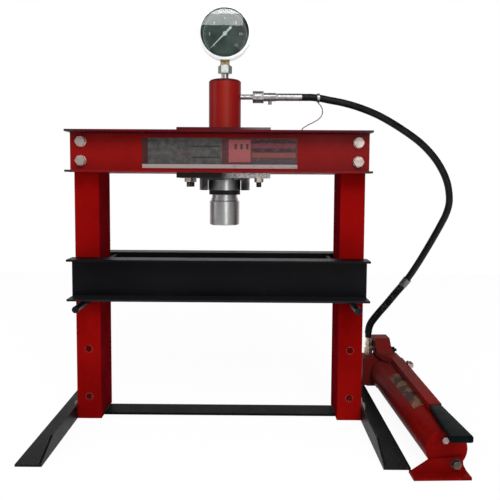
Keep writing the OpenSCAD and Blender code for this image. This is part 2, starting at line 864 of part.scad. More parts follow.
module pump_pivot_pin() {
    color(dark) in_pump() translate([post_x, 0, pivot_z]) {
        translate([-fork_out - pivot_lap, 0, 0]) along_x() cylinder(h = 2 * fork_out + pivot_over, d = pivot_d);
        translate([-fork_out - pivot_head_at, 0, 0]) along_x() cylinder(h = pivot_head_t, d = pivot_head_d);
        translate([fork_out + pivot_head_at - pivot_head_t, 0, 0]) along_x() cylinder(h = pivot_head_t, d = pivot_head_d);
    }
}
module pump_plunger() {
    z0 = bore_z + bore_room;
    z1 = plunger_top - plunger_tip;
    color(steel) in_pump() translate([post_x, plunger_y, 0]) {
        translate([0, 0, z0]) cylinder(h = z1 - z0, d = plunger_d);
        translate([0, 0, z1]) cylinder(h = plunger_tip, d1 = plunger_d, d2 = plunger_d - plunger_taper);
    }
}
module pump_reservoir() {
    color(red) in_pump() translate([0, tank_end, tank_z]) along_y() difference() {
        cylinder(h = tank_l, d = tank_d);
        translate([0, 0, -cut]) cylinder(h = tank_l + 2 * cut, d = tank_d - 2 * tank_wall);
    }
}
module filler_plug() {
    color(zinc) in_pump() translate([filler_x, cap_front, filler_z]) {
        along_y() cylinder(h = end_cap_t - end_cap_skin, d = filler_d);
        translate([0, -filler_head, 0]) along_y() hexagon(filler_af, filler_head);
    }
}
module pump_end_cap() {
    color(red) in_pump() difference() {
        translate([0, cap_front, tank_z]) along_y() {
            cylinder(h = end_cap_edge, d1 = tank_d - 2 * end_cap_edge, d2 = tank_d);
            translate([0, 0, end_cap_edge]) cylinder(h = end_cap_t - end_cap_edge, d = tank_d);
        }
        for (p = [[foot_bolt_x, foot_bolt_z, foot_bolt_d], [filler_x, filler_z, filler_d]])
            translate([p[0], cap_front - cut, p[1]]) along_y()
                cylinder(h = end_cap_t - end_cap_skin + cut, d = p[2]);
    }
}
module pump_front_foot() {
    color(red) in_pump() difference() {
        union() {
            box([tread_l, cap_front - tread_front, 0], [tread_r, cap_front + tread_rear, foot_t]);
            translate([0, cap_front, foot_t]) rotate([90, 0, 0]) linear_extrude(foot_plate_t)
                polygon([[tread_l, -post_lap], [tread_r, -post_lap], [tread_r - plate_in_r, plate_shoulder],
                    [plate_top_r, plate_top], [plate_top_l, plate_low]]);
        }
        translate([foot_bolt_x, cap_front - tread_front, foot_bolt_z]) along_y()
            cylinder(h = tread_front + tread_rear, d = foot_bolt_d + 2 * gap);
    }
}
module pump_foot_bolt() {
    y = cap_front - foot_plate_t;
    color(zinc) in_pump() translate([foot_bolt_x, y, foot_bolt_z]) {
        along_y() cylinder(h = foot_plate_t + end_cap_t - end_cap_skin, d = foot_bolt_d);
        translate([0, -foot_bolt_washer, 0]) along_y() cylinder(h = foot_bolt_washer, d = foot_bolt_washer_d);
        translate([0, -foot_bolt_washer - foot_bolt_head, 0]) along_y() hexagon(foot_bolt_af, foot_bolt_head);
    }
}
module release_valve() {
    color(black) in_pump() translate([block_r, valve_y, valve_z]) {
        translate([-valve_in, 0, 0]) along_x() cylinder(h = valve_in + valve_out, d = valve_d);
        translate([valve_out, 0, 0]) along_x() cylinder(h = knob_t, d = knob_d);
    }
}

// side outline of the lever, as [y, z]; d = 1 is the space inside its sheet
function lever_side(d) = let (low = lever_reach * d, top = sheet * d) [
    [fork_rear, fork_low - low], [-fork_front, fork_low - low], [-neck_front, lever_low + 1 - low],
    [lever_end - d, lever_low - low], [lever_end - d, lever_high - top],
    [-lever_rise, lever_high + 2 - top], [-fork_nose, fork_top - top], [fork_rear + d, fork_top - top]];
// plan of the lever, as [x, y]; i is how far inside its outer faces
lever_turn = atan(lever_in / (lever_l - neck_end));
function lever_x(y) = lever_off - tan(lever_turn) * (-neck_end - y);
function lever_plan(i) = [
    [post_x - fork_out + i, fork_rear + 1], [post_x - fork_out + i, -fork_front],
    [lever_off - neck_l + i, -neck_end], [lever_x(lever_end) - lever_w / 2 + i, lever_end - 1],
    [lever_x(lever_end) + lever_w / 2 - i, lever_end - 1], [lever_off + neck_r - i, -neck_end],
    [post_x + fork_out - i, -fork_front], [post_x + fork_out - i, fork_rear + 1]];
module lever_form(d) {
    intersection() {
        translate([block_l, 0, 0]) rotate([90, 0, 90]) linear_extrude(2 * block_top) polygon(lever_side(d));
        linear_extrude(2 * pivot_z) polygon(lever_plan(d * sheet));
    }
}
module pump_lever() {
    color(red) in_pump() difference() {
        lever_form(0);
        lever_form(1);
        translate([block_l, 0, pivot_z]) along_x() cylinder(h = 2 * block_top, d = pivot_d + 2 * fit);
        translate([block_l, plunger_y, link_z]) along_x() cylinder(h = 2 * block_top, d = link_d + 2 * fit);
    }
}
module lever_link_pin() {
    color(dark) in_pump() translate([post_x, plunger_y, link_z]) {
        translate([-fork_out - link_head_t, 0, 0]) along_x() {
            cylinder(h = 2 * fork_out + link_head_t + link_over, d = link_d);
            cylinder(h = link_head_t, d = link_head_d);
        }
        translate([fork_out, 0, 0]) along_x() cylinder(h = link_washer_t, d = link_washer_d);
        translate([fork_out + link_washer_t, 0, 0]) along_x() hexagon(link_nut_af, link_nut_t);
    }
}
module lever_bolt() {
    x = lever_x(lbolt_y) + lever_w / 2;
    color(zinc) in_pump() translate([x + eps, lbolt_y, lbolt_z]) rotate([0, 0, -lever_turn]) {
        along_x() cylinder(h = lbolt_washer_t, d = lbolt_washer_d);
        translate([lbolt_washer_t, 0, 0]) along_x() hexagon(lbolt_af, lbolt_head);
        along_x() cylinder(h = lbolt_l, d = lbolt_d);
    }
}
module pump_grip() {
    r = grip_r;
    color(black) in_pump() translate([0, 0, grip_low]) hull() {
        for (s = [-1, 1]) {
            translate([lever_x(lever_end) + s * (grip_w1 / 2 - r), lever_end - r, 0]) cylinder(h = grip_h, r = r);
            translate([lever_x(-lever_l) + s * (grip_w2 / 2 - r), -lever_l + r, 0]) cylinder(h = grip_h, r = r);
        }
    }
}
module lower_ferrule() {
    color([0.86, 0.82, 0.68]) in_pump() translate([fitting_x, fitting_y, block_top]) {
        translate([0, 0, -fit_seat]) cylinder(h = fit_seat + fit_lap, d = fit_seat_d);
        rotate([0, 0, 30]) hexagon(fit_hex_af, fit_hex_h);
        translate([0, 0, fit_nut_up]) rotate([0, 0, 30]) hexagon(fit_nut_af, fit_nut_h);
        cylinder(h = hose_pts[len(hose_pts) - 1][2] - block_top, d = fit_d);
    }
}

left_column();
right_column();
front_head_channel();
rear_head_channel();
head_bolts();
head_nuts();
left_foot_rail();
right_foot_rail();
foot_bolts();
foot_nuts();
base_tie();
front_bed_channel();
rear_bed_channel();
bed_spacers();
left_bed_pin();
right_bed_pin();
upper_ram_plate();
lower_ram_plate();
ram_studs();
ram_nuts();
ram_lock_ring();
ram_inner_ring();
ram_cylinder();
ram_gland();
ram_wiper();
ram_rod();
ram_piston();
ram_spring();
ram_nose();
gauge_nipple();
gauge_adapter();
gauge_stem();
gauge_case();
gauge_bezel();
gauge_lens();
gauge_dial();
gauge_movement();
gauge_needle();
port_nipple();
coupler_collar();
coupler_body();
upper_ferrule();
hydraulic_hose();
lower_ferrule();
tether_band();
cap_tether();
dust_plug();
name_plate();
pump_block();
pump_rear_foot();
pump_pivot_pin();
pump_plunger();
pump_reservoir();
pump_end_cap();
pump_front_foot();
pump_foot_bolt();
filler_plug();
release_valve();
pump_lever();
lever_link_pin();
lever_bolt();
pump_grip();
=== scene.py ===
"""The looks of the H-frame hydraulic shop press: finishes, cords, small details and light."""
import json
import math

import bpy
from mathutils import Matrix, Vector


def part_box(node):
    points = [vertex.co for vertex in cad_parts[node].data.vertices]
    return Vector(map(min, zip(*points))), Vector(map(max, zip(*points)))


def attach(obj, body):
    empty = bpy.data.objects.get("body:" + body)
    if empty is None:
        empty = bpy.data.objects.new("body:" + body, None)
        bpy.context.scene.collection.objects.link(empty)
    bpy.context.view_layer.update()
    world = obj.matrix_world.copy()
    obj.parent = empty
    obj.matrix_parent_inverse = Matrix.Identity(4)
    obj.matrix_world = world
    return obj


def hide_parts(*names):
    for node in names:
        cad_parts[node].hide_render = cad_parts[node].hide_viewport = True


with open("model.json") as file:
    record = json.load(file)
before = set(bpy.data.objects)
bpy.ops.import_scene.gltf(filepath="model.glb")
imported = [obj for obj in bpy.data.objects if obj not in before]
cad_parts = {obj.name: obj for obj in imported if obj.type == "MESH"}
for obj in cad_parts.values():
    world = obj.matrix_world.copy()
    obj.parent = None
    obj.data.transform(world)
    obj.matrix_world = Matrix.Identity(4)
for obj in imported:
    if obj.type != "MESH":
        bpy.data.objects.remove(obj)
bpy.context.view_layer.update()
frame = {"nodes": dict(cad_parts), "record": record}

NODES = frame["nodes"]


# ---------- pieces in general ----------

def linked(name, data):
    """A new object of this data, in the scene."""
    obj = bpy.data.objects.new(name, data)
    bpy.context.scene.collection.objects.link(obj)
    return obj


def deselect():
    bpy.ops.object.select_all(action="DESELECT")


def only(obj):
    """Makes obj the one selected and active object."""
    deselect()
    obj.select_set(True)
    bpy.context.view_layer.objects.active = obj


def mode(name):
    bpy.ops.object.mode_set(mode=name)


def apply_modifiers(obj):
    for name in [m.name for m in obj.modifiers]:
        bpy.ops.object.modifier_apply(modifier=name)


SMOOTH_BELOW = math.radians(35)


def finished(obj, name, finish, body="frame", shaded=True):
    """Names a piece, puts its place into its mesh, and gives it a finish and a body."""
    obj.name = name
    only(obj)
    bpy.ops.object.transform_apply(location=True, rotation=True, scale=True)
    if shaded:
        bpy.ops.object.shade_smooth_by_angle(angle=SMOOTH_BELOW)
    obj.data.materials.clear()
    obj.data.materials.append(finish.material)
    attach(obj, body)
    return obj


def as_mesh(obj):
    """Turns a curve or a text into a mesh."""
    only(obj)
    bpy.ops.object.convert(target="MESH")
    return bpy.context.object


# ---------- camera ----------

CAMERA_AT = (0.0777, -1.3655, 0.5876)
CAMERA_TURN = (math.pi / 2 - 0.0615, -0.0056, 0.0058)
CAMERA_SHIFT = (0.00325, -0.0655)
SENSOR, LENS = 36, 38.85


def add_camera():
    """A view from just right of the ram, from between the bed and the head."""
    data = bpy.data.cameras.new("camera")
    data.sensor_width = SENSOR
    data.lens = LENS
    data.shift_x, data.shift_y = CAMERA_SHIFT
    camera = linked("camera", data)
    camera.location = CAMERA_AT
    camera.rotation_euler = CAMERA_TURN
    bpy.context.scene.camera = camera


add_camera()


# ---------- cords ----------

HOSE_D = 0.018
HOSE_ROUTE = [
    (0.202, 0, 0.8045), (0.214, 0, 0.8045), (0.226, 0, 0.8045), (0.248, 0.001, 0.8025),
    (0.272, 0.002, 0.798), (0.306, 0.004, 0.792), (0.341, 0.007, 0.783), (0.376, 0.010, 0.771),
    (0.410, 0.013, 0.756), (0.457, 0.019, 0.730), (0.506, 0.027, 0.698), (0.544, 0.036, 0.664),
    (0.571, 0.045, 0.630), (0.589, 0.053, 0.597), (0.599, 0.062, 0.565), (0.602, 0.069, 0.538),
    (0.598, 0.077, 0.511), (0.589, 0.085, 0.485), (0.575, 0.096, 0.450), (0.559, 0.106, 0.414),
    (0.542, 0.117, 0.377), (0.524, 0.128, 0.341), (0.506, 0.138, 0.310), (0.486, 0.149, 0.280),
    (0.467, 0.160, 0.250), (0.448, 0.172, 0.221), (0.4331, 0.183, 0.1958), (0.427, 0.1878, 0.183),
    (0.4232, 0.1908, 0.1692), (0.422, 0.192, 0.1551), (0.422, 0.192, 0.1485),
    (0.422, 0.192, 0.142)]
TETHER_D = 0.0024
TETHER_ROUTE = [
    (0.243, 0, 0.7912), (0.249, -0.003, 0.784), (0.253, -0.007, 0.775), (0.253, -0.011, 0.764),
    (0.249, -0.015, 0.755), (0.241, -0.019, 0.747), (0.229, -0.023, 0.740), (0.215, -0.027, 0.733),
    (0.203, -0.030, 0.725), (0.196, -0.032, 0.714), (0.193, -0.033, 0.700), (0.192, -0.033, 0.686)]


def round_tube(name, points, diameter, resolution=6):
    """A round tube along its line, closed at both ends."""
    curve = bpy.data.curves.new(name, "CURVE")
    curve.dimensions = "3D"
    curve.bevel_depth = diameter / 2
    curve.bevel_resolution = resolution
    curve.use_fill_caps = True
    spline = curve.splines.new("POLY")
    spline.points.add(len(points) - 1)
    for p, co in zip(spline.points, points):
        p.co = (*co, 1)
    return as_mesh(linked(name, curve))


def catmull_rom(route, steps=6):
    """Points on one smooth curve through the route, as part.scad makes it."""
    out = []
    last = len(route) - 1
    for i in range(last):
        p0, p1, p2, p3 = (route[max(0, min(last, i + k))] for k in (-1, 0, 1, 2))
        for k in range(steps):
            t = k / steps
            out.append(tuple(
                0.5 * (2 * b + (c - a) * t + (2 * a - 5 * b + 4 * c - d) * t * t
                       + (3 * b - a - 3 * c + d) * t ** 3)
                for a, b, c, d in zip(p0, p1, p2, p3)))
    return out + [route[last]]


def add_cords(finishes, guard):
    """The hose, and the tether that ends in the dust plug."""
    line = catmull_rom(HOSE_ROUTE)
    hose = round_tube("hose_line", line, HOSE_D)
    finished(hose, "hose_line", finishes["hose_rubber"])
    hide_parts("hydraulic_hose")
    tether = round_tube("tether_line", TETHER_ROUTE, TETHER_D)
    finished(tether, "tether_line", finishes["tether"])
    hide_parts("cap_tether")


# ---------- shader writing ----------

class Wire:
    """A socket that can stand in an expression: each operator adds its Math node."""

    def __init__(self, finish, socket):
        self.finish = finish
        self.socket = socket

    def math(self, operation, *others):
        return self.finish.node("ShaderNodeMath", {"operation": operation},
                                dict(enumerate((self, *others))))

    def __add__(self, other):
        return self.math("ADD", other)

    def __mul__(self, other):
        return self.math("MULTIPLY", other)

    def __sub__(self, other):
        return self.math("SUBTRACT", other)

    def __rsub__(self, other):
        return self.finish.node("ShaderNodeMath", {"operation": "SUBTRACT"}, {0: other, 1: self})

    def __truediv__(self, other):
        return self.math("DIVIDE", other)

    __radd__ = __add__
    __rmul__ = __mul__

    def over(self, edge):
        return self.math("GREATER_THAN", edge)

    def under(self, edge):
        return self.math("LESS_THAN", edge)

    def between(self, low, high):
        return self.over(low) * self.under(high)


class Graph:
    """A node tree, and the one method that adds any node to it."""

    def __init__(self, tree):
        self.tree = tree

    def node(self, kind, settings=None, sockets=None, out=0):
        """Any node: its settings are set first, then the values or links of its sockets."""
        made = self.tree.nodes.new(kind)
        for key, value in (settings or {}).items():
            setattr(made, key, value)
        for key, value in (sockets or {}).items():
            self.join(value, made.inputs[key])
        return Wire(self, made.outputs[out])

    def join(self, value, socket):
        if isinstance(value, Wire):
            self.tree.links.new(value.socket, socket)
        else:
            socket.default_value = value

    def seen_rays(self):
        """Light Path's camera ray, and its mirrored and refracted rays as one."""
        camera, glossy, through = (
            self.node("ShaderNodeLightPath", out="Is %s Ray" % kind)
            for kind in ("Camera", "Glossy", "Transmission"))
        return camera, glossy.math("MAXIMUM", through)


class Finish(Graph):
    """One material and the few ways this object's finishes are written."""

    def __init__(self, name):
        self.material = bpy.data.materials.new(name)
        self.material.use_nodes = True
        super().__init__(self.material.node_tree)
        self.shader = self.tree.nodes["Principled BSDF"]
        self.place = self.node("ShaderNodeTexCoord", out="Object")

    def set(self, **values):
        """Feeds the surface; a name's underscores are the socket's spaces."""
        for key, value in values.items():
            socket = key.replace("_", " ").title().replace("Ior", "IOR")
            self.join(value, self.shader.inputs[socket])
        return self

    def axis(self, letter):
        """One Object coordinate, in metres."""
        return self.node("ShaderNodeSeparateXYZ", None, {0: self.place}, letter)

    def stretched(self, scale):
        return self.node("ShaderNodeMapping", None, {"Vector": self.place, "Scale": scale})

    def noise(self, scale, detail=3, rough=0.5, at=None):
        return self.node("ShaderNodeTexNoise", None, {
            "Vector": at or self.place, "Scale": scale, "Detail": detail, "Roughness": rough})

    def steps(self, amount, low, high):
        """amount, spread so that low becomes 0 and high becomes 1."""
        return self.node("ShaderNodeMapRange", None, {0: amount, 1: low, 2: high})

    def mix(self, amount, first, second):
        """One colour turning into another; each is a wire or three numbers."""
        first, second = (c if isinstance(c, Wire) else (*c, 1) for c in (first, second))
        return self.node("ShaderNodeMix", {"data_type": "RGBA"},
                         {0: amount, 6: first, 7: second}, 2)

    def bump(self, height, distance, strength=0.5):
        return self.node("ShaderNodeBump", None, {
            "Height": height, "Distance": distance, "Strength": strength})


# ---------- finishes ----------

DIAL_SWEEP = 135  # degrees to each side of the top
DIAL_NUMBERS = 6  # steps between numbers
DIAL_TICKS = 5 * DIAL_NUMBERS
DIAL_TICK_R, DIAL_MAJOR_R, DIAL_ARC_R = (0.048, 0.053), (0.0445, 0.053), (0.0528, 0.054)
RAM_X, RAM_RIM_Z = 0.010, 0.8385
COLUMN_X = 0.324
COLUMN_SIDE = (0.0292, 0.0299)  # from a column's middle to where its side face starts
COLUMN_INNER = (0.0285, 0.0485)  # inside the walls, across and deep
HEAD_WEB_Z, HEAD_TIP_X = (0.62, 0.708), 0.34
HEAD_SHADE_Z, HEAD_LIP_Z = (0.685, 0.706), 0.7078
BED_PALE_Z = 0.312
# where the clamp plates turn pale at the right: wear and bare steel, with a painted reflection
PLATE_WEAR_AND_REFLECTION_X, PLATE_BARE_AND_REFLECTION_X = (0.06, 0.12), (0.03, 0.075)
# front to back, where the pump's painted shade comes in
PUMP_SHADE_Y = (-0.16, 0.16)
PALE, INK = (0.52, 0.44, 0.43), (0.035, 0.035, 0.037)
LABEL_FIELDS = (  # low x, high x, low z, high z, and colour
    ((-0.187, -0.173, 0.62, 0.7), (0.07, 0.012, 0.012)),
    ((0.006, 0.188, 0.62, 0.7), (0.105, 0.02, 0.026)),
    ((-0.066, 0.003, 0.676, 0.6795), INK), ((-0.066, 0.003, 0.6495, 0.653), INK),
    ((-0.093, -0.068, 0.655, 0.662), (0.1, 0.06, 0.06)),
    ((0.022, 0.075, 0.640, 0.694), (0.42, 0.105, 0.11)),
    ((0.036, 0.042, 0.671, 0.684), INK), ((0.05, 0.056, 0.671, 0.684), INK),
    ((0.064, 0.07, 0.671, 0.684), INK),
    ((0.078, 0.184, 0.685, 0.694), (0.06, 0.02, 0.022)),
    ((0.078, 0.184, 0.675, 0.685), (0.19, 0.04, 0.055)),
    ((0.078, 0.184, 0.665, 0.672), (0.045, 0.018, 0.026)),
    ((0.078, 0.184, 0.651, 0.663), (0.24, 0.07, 0.05)),
    ((0.078, 0.184, 0.636, 0.648), (0.06, 0.06, 0.075)),
    ((-0.187, 0.188, 0.622, 0.6345), PALE))


def enamel(name, deep, bright, rough, dust, wash=None, gloss=0.1):
    """Sprayed enamel: slow tone changes, orange peel, a little dust in patches.

    wash takes the finish and its colour, and returns the colour with a local change."""
    f = Finish(name)
    tone = f.steps(f.noise(5, 4), 0.35, 0.65)
    fleck = f.steps(f.noise(38, 6, 0.65), 0.58, 0.75)
    colour = f.mix(tone, deep, bright)
    colour = f.mix(fleck * 0.25, colour, dust)
    if wash:
        colour = wash(f, colour)
    peel = f.noise(420, 2)
    return f.set(base_color=colour, roughness=rough + f.noise(22, 4) * 0.16,
                 specular_ior_level=gloss, normal=f.bump(peel, 0.00025, 0.35))


def red_enamel(name="red_enamel", wash=None, gloss=0.1):
    return enamel(name, (0.205, 0.0022, 0.0024), (0.3, 0.0042, 0.0034), 0.3,
                  (0.26, 0.016, 0.012), wash, gloss)


def ram_painted_light(f, colour):
    """The ram's top rim carries painted shade, and its front a warmer streak that is a painted
    highlight.
    """
    # painted shade on the top rim, and below it a painted highlight down the front
    rim = f.steps(f.axis("Z") + f.noise(40, 3) * 0.003, RAM_RIM_Z, RAM_RIM_Z + 0.003)
    streak = 1 - f.steps((f.axis("X") - RAM_X - 0.004).math("ABSOLUTE"), 0.006, 0.02)
    with_painted_highlight = f.mix(streak * 0.7, colour, (0.33, 0.014, 0.004))
    return f.mix(rim * 0.85, with_painted_highlight, (0.045, 0.004, 0.006))


def column_painted_shade(f, colour):
    """The columns' side faces are painted darker than their fronts, as painted shade."""
    across = (f.axis("X").math("ABSOLUTE") - COLUMN_X).math("ABSOLUTE")
    # painted shade: the side faces turn darker, mottled by the noise
    side = f.steps(across + f.noise(90, 3) * 0.0006, *COLUMN_SIDE)
    grime_and_shade = f.mix(f.steps(f.noise(14, 4), 0.35, 0.65), (0.13, 0.003, 0.007), (0.2, 0.004, 0.008))
    return f.mix(side * 0.85, colour, grime_and_shade)


def column_inside_glow(f):
    """A faint red glow on the tubes' inner walls, made by emission: painted light that stands in
    for the light that comes in at the ends and holes.
    """
    across = (f.axis("X").math("ABSOLUTE") - COLUMN_X).math("ABSOLUTE")
    inner = across.under(COLUMN_INNER[0]) * f.axis("Y").math("ABSOLUTE").under(COLUMN_INNER[1])
    return f.mix(inner, (0, 0, 0), (0.055, 0.0015, 0.0015))


def channel_wash(f, colour):
    """The head's flanges are a darker red, its web carries painted shade under the top one, the
    top flange is painted darker as painted shade, and the flanges' tips are rubbed down to dark
    steel."""
    end = f.steps(f.axis("X").math("ABSOLUTE") + f.noise(60, 3) * 0.004, HEAD_TIP_X,
                  HEAD_TIP_X + 0.003)
    flange = 1 - f.axis("Z").between(*HEAD_WEB_Z)
    streak = f.noise(1.0, 4, 0.6, f.stretched((9, 60, 60)))
    colour = f.mix(flange * f.steps(streak, 0.35, 0.6) * 0.8, colour, (0.085, 0.008, 0.016))
    # painted shade: darker under the top flange and on the top flange itself
    shade = f.steps(f.axis("Z"), *HEAD_SHADE_Z) * 0.3 + f.axis("Z").over(HEAD_LIP_Z) * 0.35
    colour = f.mix(shade, colour, (0.04, 0.004, 0.01))
    return f.mix(end * flange * 0.85, colour, (0.035, 0.03, 0.032))


def bed_wash(f, colour):
    """The bed's lower flanges are a little paler than its webs."""
    low = 1 - f.steps(f.axis("Z") + f.noise(30, 3) * 0.001, BED_PALE_Z, BED_PALE_Z + 0.001)
    return f.mix(low * 0.8, colour, (0.019, 0.0185, 0.021))


def plate_wear_and_reflection(f, colour):
    """The upper clamp plate: old dark paint at the left, pale at the right from wear with a
    painted reflection.
    """
    # pale at the right: wear with a painted reflection
    worn = f.steps(f.axis("X") + f.noise(35, 4) * 0.05, *PLATE_WEAR_AND_REFLECTION_X)
    dark = f.mix(f.steps(f.noise(80, 4), 0.4, 0.7), (0.05, 0.014, 0.02), (0.1, 0.012, 0.016))
    return f.mix(worn, f.mix(0.8, colour, dark), (0.25, 0.17, 0.17))


def rail_wash(f, colour):
    """The foot rails are scuffed through to pale specks."""
    scuff = f.steps(f.noise(240, 5, 0.75), 0.6, 0.66)
    return f.mix(scuff * 0.5, colour, (0.16, 0.17, 0.175))


def pump_paint_and_shade(f, colour):
    """The pump's paint: brown and dull towards the back, which is painted shade from the lever
    above, and bright towards its foot.
    """
    # painted shade towards the back, under the lever
    back = f.steps(f.axis("Y") + f.noise(18, 4) * 0.12, *PUMP_SHADE_Y)
    grime_and_shade = f.steps(f.noise(34, 5, 0.65), 0.42, 0.66)
    dull = f.mix(grime_and_shade, (0.165, 0.011, 0.012), (0.11, 0.024, 0.017))
    return f.mix(back * 0.9, f.mix(0.25 + grime_and_shade * 0.4, colour, (0.11, 0.003, 0.003)), dull)


def black_enamel(name="black_enamel", wash=None):
    return enamel(name, (0.0018, 0.0016, 0.003), (0.0055, 0.0052, 0.0072), 0.36,
                  (0.015, 0.015, 0.017), wash)


def grey_enamel():
    return enamel("grey_enamel", (0.003, 0.0034, 0.0038), (0.009, 0.01, 0.011), 0.42,
                  (0.045, 0.048, 0.052))


def plated(name, base, tarnish, rough=0.3):
    """Electroplated steel: bright, with cloudy patches and fine brushing."""
    f = Finish(name)
    cloud = f.steps(f.noise(60, 5, 0.6), 0.4, 0.7)
    fine = f.noise(900, 2)
    return f.set(base_color=f.mix(cloud, base, tarnish), metallic=1.0,
                 roughness=rough + cloud * 0.14, normal=f.bump(fine, 0.00006, 0.4))


def turned(name, base, shade, rough):
    """Lathe-turned steel: fine rings along the ram's height and faint drawn streaks."""
    f = Finish(name)
    rings = f.noise(1.0, 5, 0.7, f.stretched((2, 2, 2600)))
    bands = f.noise(1.0, 3, 0.5, f.stretched((3, 3, 160)))
    return f.set(base_color=f.mix(bands, base, shade), metallic=1.0,
                 roughness=rough + bands * 0.12, normal=f.bump(rings, 0.00003, 0.5))


def oxide(name, dark, bare, rough):
    """Black-oxide steel, rubbed bare here and there."""
    f = Finish(name)
    rub = f.steps(f.noise(45, 6, 0.7), 0.54, 0.72)
    return f.set(base_color=f.mix(rub, dark, bare), metallic=0.85,
                 roughness=rough - rub * 0.08, normal=f.bump(f.noise(700, 3), 0.00012, 0.4))


def ground_plate():
    """The lower clamp plate: dark scale at the left, ground bare and speckled at the right, where
    its pale colour is also a painted reflection.
    """
    f = Finish("ground_plate")
    # pale at the right: bare ground steel with a painted reflection
    ground = f.steps(f.axis("X") + f.noise(30, 4) * 0.06, *PLATE_BARE_AND_REFLECTION_X)
    speck = f.steps(f.noise(210, 4, 0.7), 0.42, 0.6)
    bare = f.mix(speck, (0.4, 0.37, 0.38), (0.85, 0.84, 0.83))
    colour = f.mix(ground, (0.02, 0.018, 0.016), bare)
    return f.set(base_color=colour, metallic=0.55, roughness=0.52 - ground * 0.12,
                 normal=f.bump(f.noise(500, 3), 0.0001, 0.4))


def rubber(name, base, pale, rough=0.55, grain=1600, gloss=0.15):
    f = Finish(name)
    wear = f.steps(f.noise(50, 4), 0.45, 0.8)
    return f.set(base_color=f.mix(wear, base, pale), roughness=rough + wear * 0.15,
                 specular_ior_level=gloss,
                 normal=f.bump(f.noise(grain, 2), 0.00012, 0.4))


def brass():
    f = Finish("machined_brass")
    tarnish = f.steps(f.noise(120, 5), 0.35, 0.7)
    return f.set(base_color=f.mix(tarnish, (0.5, 0.38, 0.2), (0.2, 0.14, 0.065)), metallic=1.0,
                 roughness=0.28 + tarnish * 0.2, normal=f.bump(f.noise(900, 2), 0.00005, 0.4))


def polished_case():
    f = Finish("polished_case")
    haze = f.noise(40, 4)
    return f.set(base_color=f.mix(haze, (0.93, 0.94, 0.93), (0.84, 0.85, 0.85)), metallic=0.55,
                 roughness=0.24 + haze * 0.14, normal=f.bump(f.noise(700, 2), 0.00003, 0.3))


def gauge_glass():
    f = Finish("gauge_glass")
    smear = f.steps(f.noise(30, 4), 0.5, 0.8)
    return f.set(base_color=(0.86, 0.93, 0.9, 1), transmission_weight=1.0, ior=1.46,
                 roughness=0.01 + smear * 0.03)


def dial_face():
    """Dark printed dial, green and cloudy, greyer at the right, with an arc and its ticks."""
    f = Finish("dial_face")
    (x0, _, z0), (x1, _, z1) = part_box("gauge_dial")
    across = f.axis("X") - (x0 + x1) / 2
    up = f.axis("Z") - (z0 + z1) / 2
    radius = (across * across + up * up).math("SQRT")
    turn = across.math("ARCTAN2", up) / math.radians(DIAL_SWEEP)
    scale = turn.math("ABSOLUTE").under(1.0)
    whole = (turn * DIAL_TICKS).math("FRACT")
    tick = (whole - 0.5).math("ABSOLUTE").over(0.44) * radius.between(*DIAL_TICK_R)
    major = ((turn * DIAL_NUMBERS).math("FRACT") - 0.5).math("ABSOLUTE").over(0.482)
    mark = (tick + major * radius.between(*DIAL_MAJOR_R)).math("MINIMUM", 1.0)
    arc = radius.between(*DIAL_ARC_R)
    print_mask = (scale * (mark + arc)).math("MINIMUM", 1.0)
    cloud = f.steps(f.noise(26, 4), 0.3, 0.7)
    green = f.mix(cloud, (0.032, 0.056, 0.049), (0.105, 0.152, 0.137))
    aside = f.steps(across + up * 0.4, 0.012, 0.03)
    ground = f.mix(aside, green, f.mix(cloud, (0.075, 0.075, 0.077), (0.18, 0.18, 0.182)))
    return f.set(base_color=f.mix(print_mask, ground, (0.5, 0.56, 0.53)), roughness=0.42,
                 normal=f.bump(f.noise(800, 2), 0.00003, 0.3))


def field(f, low_x, high_x, low_z, high_z):
    """A rectangle of the head label, in metres."""
    return f.axis("X").between(low_x, high_x) * f.axis("Z").between(low_z, high_z)


def head_label():
    """Plain bands of colour: a grey panel with lines, a red one with bars, a pale foot strip."""
    f = Finish("head_label")
    wear = f.steps(f.noise(70, 5), 0.35, 0.7)
    colour = f.mix(wear, (0.06, 0.064, 0.062), (0.125, 0.115, 0.108))
    for spot, tone in LABEL_FIELDS:
        colour = f.mix(field(f, *spot) * 0.92, colour, tone)
    smudge = f.steps(f.noise(1.0, 5, 0.7, f.stretched((70, 70, 240))), 0.5, 0.68)
    rubbed = f.steps(f.axis("X"), 0.0, 0.03) * smudge
    colour = f.mix(rubbed * 0.55, colour, (0.24, 0.1, 0.11))
    return f.set(base_color=colour, roughness=0.34 + wear * 0.2, coat_weight=0.15,
                 coat_roughness=0.1, specular_ior_level=0.3)


def tank_label():
    """The pump's faded label: olive and brown blotches, with the red paint showing through."""
    f = Finish("tank_label")
    stain = f.steps(f.noise(60, 6, 0.65), 0.35, 0.65)
    blot = f.steps(f.noise(30, 4), 0.48, 0.56)
    bare = f.steps(f.noise(22, 5, 0.6, f.stretched((1, 1.3, 1.7))), 0.52, 0.56)
    colour = f.mix(stain, (0.12, 0.055, 0.024), (0.25, 0.15, 0.065))
    colour = f.mix(blot, colour, (0.045, 0.012, 0.012))
    return f.set(base_color=f.mix(bare, colour, (0.15, 0.006, 0.006)), roughness=0.48,
                 specular_ior_level=0.15)


